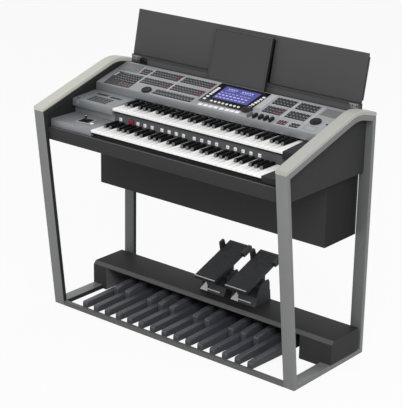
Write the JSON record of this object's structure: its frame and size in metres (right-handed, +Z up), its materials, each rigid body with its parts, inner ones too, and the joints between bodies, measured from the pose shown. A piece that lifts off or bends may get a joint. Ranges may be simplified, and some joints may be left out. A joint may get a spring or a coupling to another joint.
{
  "type": "electronic organ",
  "caption": "Console organ in an open tube stand: stepped manuals, sloping control panel with a display, folding lid, music rest, pedalboard and swell pedals.",
  "frame": {"origin": "on the floor, under the middle of the whole organ's box", "axes": "+X to the player's right, +Y away from the player, +Z up"},
  "size_m": [1.2662, 0.5979, 1.2108],
  "materials": {
    "tube_grey": "satin grey paint",
    "cap_cream": "satin cream paint",
    "case_black": "black laminate on board",
    "panel_silver": "silver-grey moulded plastic",
    "dark_grey": "dark grey moulded plastic",
    "knob_black": "black moulded plastic",
    "key_white": "polished white",
    "key_black": "satin black",
    "pedal_slate": "dark slate plastic",
    "lid_grey": "matt dark grey",
    "screen_blue": "lit blue display in a black bezel",
    "button_white": "matt white",
    "steel": "bare steel",
    "board_green": "circuit board"
  },
  "bodies": {
    "stand_and_case": {"left_side_frame": "tube_grey", "left_top_rail": "cap_cream", "left_side_panel": "case_black", "left_swell_base": "case_black", "right_side_frame": "tube_grey", "right_top_rail": "cap_cream", "right_side_panel": "case_black", "right_swell_base": "case_black", "front_foot_bar": "tube_grey", "front_fascia": "case_black", "key_bed": "case_black", "lower_cabinet": "case_black", "speaker_baffle": "dark_grey", "rear_panel": "case_black", "main_board": "board_green", "lower_manual_case": "panel_silver", "upper_manual_case": "panel_silver", "control_panel": "panel_silver", "display_screen": "screen_blue", "lid_hinge": "steel", "pedal_box": "case_black"},
    "natural_pedal_01": {"natural_pedal_01": "pedal_slate"},
    "natural_pedal_02": {"natural_pedal_02": "pedal_slate"},
    "natural_pedal_03": {"natural_pedal_03": "pedal_slate"},
    "natural_pedal_04": {"natural_pedal_04": "pedal_slate"},
    "natural_pedal_05": {"natural_pedal_05": "pedal_slate"},
    "natural_pedal_06": {"natural_pedal_06": "pedal_slate"},
    "natural_pedal_07": {"natural_pedal_07": "pedal_slate"},
    "natural_pedal_08": {"natural_pedal_08": "pedal_slate"},
    "natural_pedal_09": {"natural_pedal_09": "pedal_slate"},
    "natural_pedal_10": {"natural_pedal_10": "pedal_slate"},
    "natural_pedal_11": {"natural_pedal_11": "pedal_slate"},
    "natural_pedal_12": {"natural_pedal_12": "pedal_slate"},
    "natural_pedal_13": {"natural_pedal_13": "pedal_slate"},
    "natural_pedal_14": {"natural_pedal_14": "pedal_slate"},
    "natural_pedal_15": {"natural_pedal_15": "pedal_slate"},
    "sharp_pedal_01": {"sharp_pedal_01": "pedal_slate"},
    "sharp_pedal_02": {"sharp_pedal_02": "pedal_slate"},
    "sharp_pedal_03": {"sharp_pedal_03": "pedal_slate"},
    "sharp_pedal_04": {"sharp_pedal_04": "pedal_slate"},
    "sharp_pedal_05": {"sharp_pedal_05": "pedal_slate"},
    "sharp_pedal_06": {"sharp_pedal_06": "pedal_slate"},
    "sharp_pedal_07": {"sharp_pedal_07": "pedal_slate"},
    "sharp_pedal_08": {"sharp_pedal_08": "pedal_slate"},
    "sharp_pedal_09": {"sharp_pedal_09": "pedal_slate"},
    "sharp_pedal_10": {"sharp_pedal_10": "pedal_slate"},
    "lower_naturals": {"lower_naturals": "key_white"},
    "lower_sharps": {"lower_sharps": "key_black"},
    "upper_naturals": {"upper_naturals": "key_white"},
    "upper_sharps": {"upper_sharps": "key_black"},
    "preset_buttons": {"preset_buttons": "button_white"},
    "data_wheel": {"data_wheel": "knob_black"},
    "left_knob": {"left_knob": "knob_black"},
    "right_knob": {"right_knob": "knob_black"},
    "joystick": {"joystick": "knob_black"},
    "lid_front_leaf": {"lid_front_leaf": "lid_grey"},
    "lid_rear_leaf": {"lid_rear_leaf": "lid_grey"},
    "music_rest": {"music_rest": "case_black"},
    "left_swell_pedal": {"left_swell_pedal": "dark_grey"},
    "right_swell_pedal": {"right_swell_pedal": "dark_grey"}
  },
  "joints": [
    {"name": "natural_pedal_01_press", "type": "hinge", "parent": "stand_and_case", "child": "natural_pedal_01", "pos_m": [-0.47368, 0.2053, 0.022], "axis": [1, 0, 0], "range_deg": [0, 1.5], "stiffness_Nm_per_rad": 40, "springref_deg": -3.44},
    {"name": "natural_pedal_02_press", "type": "hinge", "parent": "stand_and_case", "child": "natural_pedal_02", "pos_m": [-0.41084, 0.2053, 0.022], "axis": [1, 0, 0], "range_deg": [0, 1.5], "stiffness_Nm_per_rad": 40, "springref_deg": -3.44},
    {"name": "natural_pedal_03_press", "type": "hinge", "parent": "stand_and_case", "child": "natural_pedal_03", "pos_m": [-0.348, 0.2053, 0.022], "axis": [1, 0, 0], "range_deg": [0, 1.5], "stiffness_Nm_per_rad": 40, "springref_deg": -3.44},
    {"name": "natural_pedal_04_press", "type": "hinge", "parent": "stand_and_case", "child": "natural_pedal_04", "pos_m": [-0.28516, 0.2053, 0.022], "axis": [1, 0, 0], "range_deg": [0, 1.5], "stiffness_Nm_per_rad": 40, "springref_deg": -3.44},
    {"name": "natural_pedal_05_press", "type": "hinge", "parent": "stand_and_case", "child": "natural_pedal_05", "pos_m": [-0.22232, 0.2053, 0.022], "axis": [1, 0, 0], "range_deg": [0, 1.5], "stiffness_Nm_per_rad": 40, "springref_deg": -3.44},
    {"name": "natural_pedal_06_press", "type": "hinge", "parent": "stand_and_case", "child": "natural_pedal_06", "pos_m": [-0.15948, 0.2053, 0.022], "axis": [1, 0, 0], "range_deg": [0, 1.5], "stiffness_Nm_per_rad": 40, "springref_deg": -3.44},
    {"name": "natural_pedal_07_press", "type": "hinge", "parent": "stand_and_case", "child": "natural_pedal_07", "pos_m": [-0.09664, 0.2053, 0.022], "axis": [1, 0, 0], "range_deg": [0, 1.5], "stiffness_Nm_per_rad": 40, "springref_deg": -3.44},
    {"name": "natural_pedal_08_press", "type": "hinge", "parent": "stand_and_case", "child": "natural_pedal_08", "pos_m": [-0.0338, 0.2053, 0.022], "axis": [1, 0, 0], "range_deg": [0, 1.5], "stiffness_Nm_per_rad": 40, "springref_deg": -3.44},
    {"name": "natural_pedal_09_press", "type": "hinge", "parent": "stand_and_case", "child": "natural_pedal_09", "pos_m": [0.02904, 0.2053, 0.022], "axis": [1, 0, 0], "range_deg": [0, 1.5], "stiffness_Nm_per_rad": 40, "springref_deg": -3.44},
    {"name": "natural_pedal_10_press", "type": "hinge", "parent": "stand_and_case", "child": "natural_pedal_10", "pos_m": [0.09188, 0.2053, 0.022], "axis": [1, 0, 0], "range_deg": [0, 1.5], "stiffness_Nm_per_rad": 40, "springref_deg": -3.44},
    {"name": "natural_pedal_11_press", "type": "hinge", "parent": "stand_and_case", "child": "natural_pedal_11", "pos_m": [0.15472, 0.2053, 0.022], "axis": [1, 0, 0], "range_deg": [0, 1.5], "stiffness_Nm_per_rad": 40, "springref_deg": -3.44},
    {"name": "natural_pedal_12_press", "type": "hinge", "parent": "stand_and_case", "child": "natural_pedal_12", "pos_m": [0.21756, 0.2053, 0.022], "axis": [1, 0, 0], "range_deg": [0, 1.5], "stiffness_Nm_per_rad": 40, "springref_deg": -3.44},
    {"name": "natural_pedal_13_press", "type": "hinge", "parent": "stand_and_case", "child": "natural_pedal_13", "pos_m": [0.2804, 0.2053, 0.022], "axis": [1, 0, 0], "range_deg": [0, 1.5], "stiffness_Nm_per_rad": 40, "springref_deg": -3.44},
    {"name": "natural_pedal_14_press", "type": "hinge", "parent": "stand_and_case", "child": "natural_pedal_14", "pos_m": [0.34324, 0.2053, 0.022], "axis": [1, 0, 0], "range_deg": [0, 1.5], "stiffness_Nm_per_rad": 40, "springref_deg": -3.44},
    {"name": "natural_pedal_15_press", "type": "hinge", "parent": "stand_and_case", "child": "natural_pedal_15", "pos_m": [0.40608, 0.2053, 0.022], "axis": [1, 0, 0], "range_deg": [0, 1.5], "stiffness_Nm_per_rad": 40, "springref_deg": -3.44},
    {"name": "sharp_pedal_01_press", "type": "hinge", "parent": "stand_and_case", "child": "sharp_pedal_01", "pos_m": [-0.44226, 0.2053, 0.022], "axis": [1, 0, 0], "range_deg": [0, 2.4], "stiffness_Nm_per_rad": 40, "springref_deg": -3.44},
    {"name": "sharp_pedal_02_press", "type": "hinge", "parent": "stand_and_case", "child": "sharp_pedal_02", "pos_m": [-0.37942, 0.2053, 0.022], "axis": [1, 0, 0], "range_deg": [0, 2.4], "stiffness_Nm_per_rad": 40, "springref_deg": -3.44},
    {"name": "sharp_pedal_03_press", "type": "hinge", "parent": "stand_and_case", "child": "sharp_pedal_03", "pos_m": [-0.25374, 0.2053, 0.022], "axis": [1, 0, 0], "range_deg": [0, 2.4], "stiffness_Nm_per_rad": 40, "springref_deg": -3.44},
    {"name": "sharp_pedal_04_press", "type": "hinge", "parent": "stand_and_case", "child": "sharp_pedal_04", "pos_m": [-0.1909, 0.2053, 0.022], "axis": [1, 0, 0], "range_deg": [0, 2.4], "stiffness_Nm_per_rad": 40, "springref_deg": -3.44},
    {"name": "sharp_pedal_05_press", "type": "hinge", "parent": "stand_and_case", "child": "sharp_pedal_05", "pos_m": [-0.12806, 0.2053, 0.022], "axis": [1, 0, 0], "range_deg": [0, 2.4], "stiffness_Nm_per_rad": 40, "springref_deg": -3.44},
    {"name": "sharp_pedal_06_press", "type": "hinge", "parent": "stand_and_case", "child": "sharp_pedal_06", "pos_m": [-0.00238, 0.2053, 0.022], "axis": [1, 0, 0], "range_deg": [0, 2.4], "stiffness_Nm_per_rad": 40, "springref_deg": -3.44},
    {"name": "sharp_pedal_07_press", "type": "hinge", "parent": "stand_and_case", "child": "sharp_pedal_07", "pos_m": [0.06046, 0.2053, 0.022], "axis": [1, 0, 0], "range_deg": [0, 2.4], "stiffness_Nm_per_rad": 40, "springref_deg": -3.44},
    {"name": "sharp_pedal_08_press", "type": "hinge", "parent": "stand_and_case", "child": "sharp_pedal_08", "pos_m": [0.18614, 0.2053, 0.022], "axis": [1, 0, 0], "range_deg": [0, 2.4], "stiffness_Nm_per_rad": 40, "springref_deg": -3.44},
    {"name": "sharp_pedal_09_press", "type": "hinge", "parent": "stand_and_case", "child": "sharp_pedal_09", "pos_m": [0.24898, 0.2053, 0.022], "axis": [1, 0, 0], "range_deg": [0, 2.4], "stiffness_Nm_per_rad": 40, "springref_deg": -3.44},
    {"name": "sharp_pedal_10_press", "type": "hinge", "parent": "stand_and_case", "child": "sharp_pedal_10", "pos_m": [0.31182, 0.2053, 0.022], "axis": [1, 0, 0], "range_deg": [0, 2.4], "stiffness_Nm_per_rad": 40, "springref_deg": -3.44},
    {"name": "lower_naturals_press", "type": "hinge", "parent": "stand_and_case", "child": "lower_naturals", "pos_m": [0, -0.0342, 0.8275], "axis": [1, 0, 0], "range_deg": [0, 2.6], "stiffness_Nm_per_rad": 60, "springref_deg": -3.44},
    {"name": "lower_sharps_press", "type": "hinge", "parent": "stand_and_case", "child": "lower_sharps", "pos_m": [0, -0.0342, 0.8275], "axis": [1, 0, 0], "range_deg": [0, 2.6], "stiffness_Nm_per_rad": 40, "springref_deg": -3.44},
    {"name": "upper_naturals_press", "type": "hinge", "parent": "stand_and_case", "child": "upper_naturals", "pos_m": [0, 0.091, 0.8901], "axis": [1, 0, 0], "range_deg": [0, 2.6], "stiffness_Nm_per_rad": 60, "springref_deg": -3.44},
    {"name": "upper_sharps_press", "type": "hinge", "parent": "stand_and_case", "child": "upper_sharps", "pos_m": [0, 0.091, 0.8901], "axis": [1, 0, 0], "range_deg": [0, 2.6], "stiffness_Nm_per_rad": 40, "springref_deg": -3.44},
    {"name": "preset_buttons_push", "type": "slide", "parent": "stand_and_case", "child": "preset_buttons", "axis": [0, 1, 0], "range_m": [0, 0.0015], "stiffness_N_per_m": 2000, "springref_m": -0.001},
    {"name": "left_knob_turn", "type": "hinge", "parent": "stand_and_case", "child": "left_knob", "pos_m": [-0.317, 0.03551, 0.95022], "axis": [0, -0.2588, 0.9659], "range_deg": [-150, 150]},
    {"name": "right_knob_turn", "type": "hinge", "parent": "stand_and_case", "child": "right_knob", "pos_m": [0.482, 0.0896, 0.96472], "axis": [0, -0.2588, 0.9659], "range_deg": [-150, 150]},
    {"name": "data_wheel_turn", "type": "hinge", "parent": "stand_and_case", "child": "data_wheel", "pos_m": [0.177, 0.06339, 0.95821], "axis": [0, -0.2588, 0.9659], "continuous": true},
    {"name": "joystick_tilt", "type": "hinge", "parent": "stand_and_case", "child": "joystick", "pos_m": [-0.453, -0.1767, 0.8435], "axis": [0, 1, 0], "range_deg": [-20, 20], "stiffness_Nm_per_rad": 0.3},
    {"name": "lid_swing", "type": "hinge", "parent": "stand_and_case", "child": "lid_front_leaf", "pos_m": [0, 0.2443, 1.02451], "axis": [1, 0, 0], "range_deg": [0, 100]},
    {"name": "lid_leaf_fold", "type": "hinge", "parent": "lid_front_leaf", "child": "lid_rear_leaf", "pos_m": [0, 0.28896, 1.20933], "axis": [1, 0, 0], "range_deg": [0, 180]},
    {"name": "music_rest_fold", "type": "hinge", "parent": "stand_and_case", "child": "music_rest", "pos_m": [0, 0.2094, 0.99681], "axis": [1, 0, 0], "range_deg": [0, 110]},
    {"name": "left_swell_pedal_tilt", "type": "hinge", "parent": "stand_and_case", "child": "left_swell_pedal", "pos_m": [-0.02, 0.1843, 0.205], "axis": [-1, 0, 0], "range_deg": [0, 18]},
    {"name": "right_swell_pedal_tilt", "type": "hinge", "parent": "stand_and_case", "child": "right_swell_pedal", "pos_m": [0.1425, 0.1843, 0.205], "axis": [-1, 0, 0], "range_deg": [0, 18]}
  ],
  "couplings": [
    {"joint": "music_rest_fold", "follows": "lid_swing", "ratio": 1.1}
  ]
}
